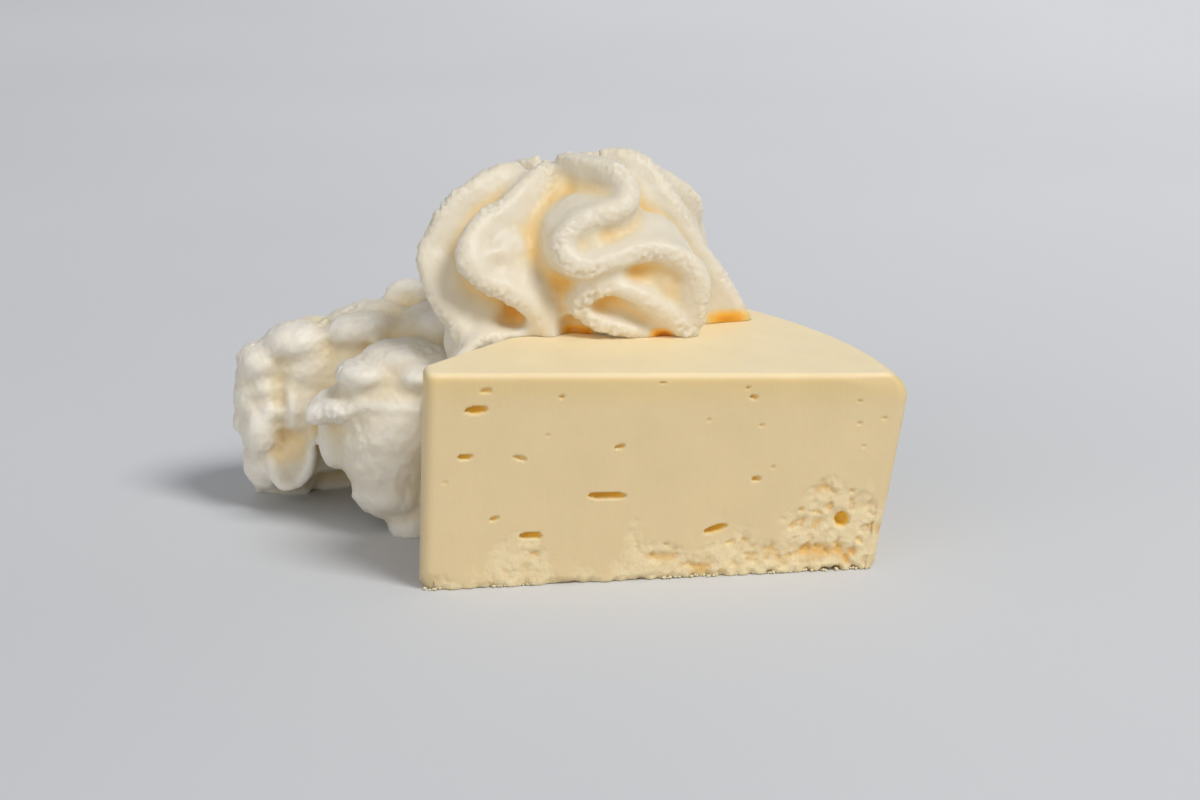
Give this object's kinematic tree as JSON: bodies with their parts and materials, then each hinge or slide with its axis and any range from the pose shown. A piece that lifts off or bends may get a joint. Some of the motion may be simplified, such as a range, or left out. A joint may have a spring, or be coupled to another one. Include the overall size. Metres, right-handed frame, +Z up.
{
  "type": "cheesecake slice",
  "caption": "Wedge of smooth baked cheesecake without crust, with whipped cream piped in soft folds on its top and heaped beside it.",
  "frame": {"origin": "on the floor in the middle of the slice's flat base", "axes": "+X along the front cut face from the tip to the rim, +Y away from that face, +Z up"},
  "size_m": [0.1473, 0.0924, 0.0866],
  "materials": {
    "cheesecake": "smooth baked cream cheese, satin, cut with a knife, with small air holes and a crumbly foot",
    "whipped_cream": "soft matt whipped cream, frayed along its crests"
  },
  "bodies": {
    "root": {"cake": "cheesecake", "cream_top": "whipped_cream", "cream_side": "whipped_cream"}
  },
  "joints": []
}
